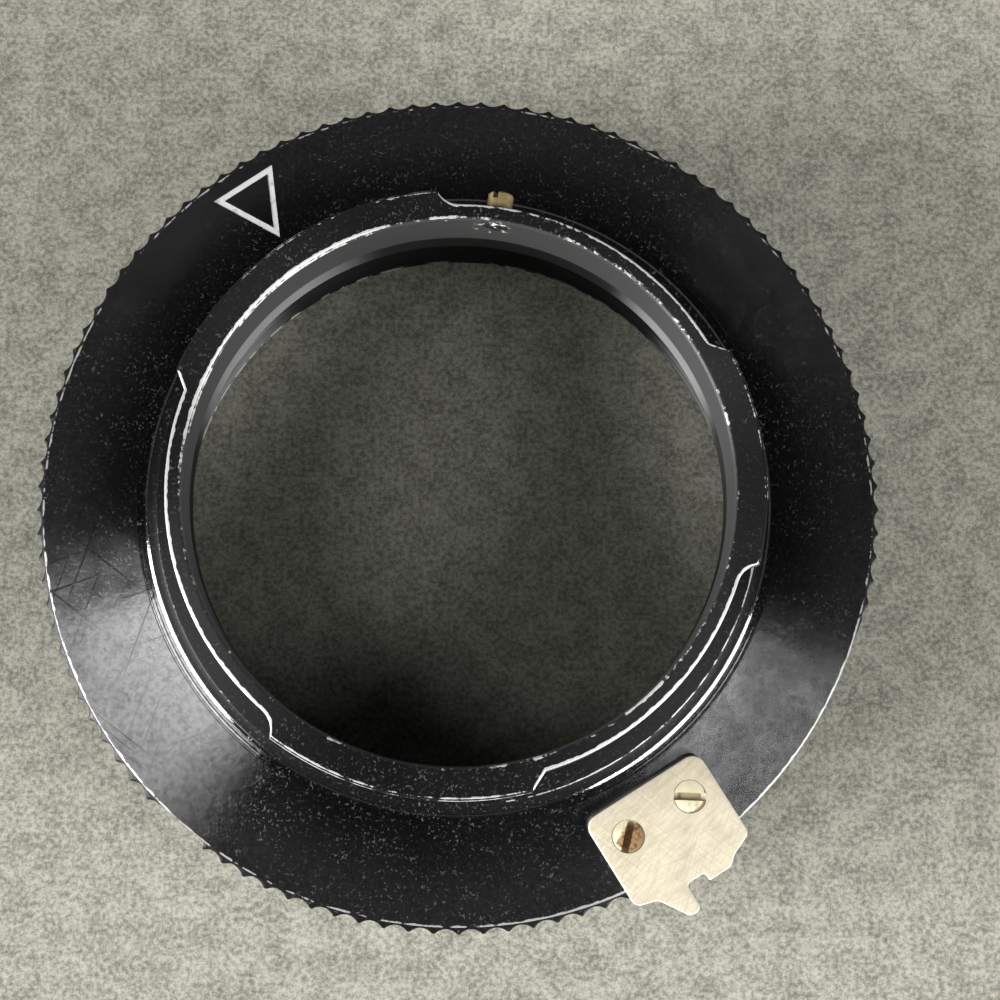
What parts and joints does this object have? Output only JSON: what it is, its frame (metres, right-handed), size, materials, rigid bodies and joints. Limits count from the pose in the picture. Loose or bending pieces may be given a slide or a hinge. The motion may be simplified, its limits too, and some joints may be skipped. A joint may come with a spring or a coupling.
{
  "type": "lens mount adapter ring",
  "caption": "Black anodised ring that joins a screw-thread lens to a bayonet camera, with a knurled rim, a tabbed collar, a brass stop screw and a catch plate.",
  "frame": {"origin": "centre of the ring's threaded end, on the surface it stands on", "axes": "+Z along the ring's axis from the threaded end to the bayonet collar, +X to the right and +Y away from the viewer in the picture"},
  "size_m": [0.0678, 0.0678, 0.021],
  "materials": {
    "black_anodised": "black anodised over fine turning lines, worn to bright metal along its edges",
    "screw_brass": "dull turned brass",
    "plate_metal": "pale warm metal, satin with fine scratches",
    "screw_steel": "plated steel, one head stained with rust",
    "index_paint": "white paint in an engraved line"
  },
  "bodies": {
    "root": {"adapter_ring": "black_anodised", "stop_screw": "screw_brass", "catch_plate": "plate_metal", "plate_screws": "screw_steel"}
  },
  "joints": []
}
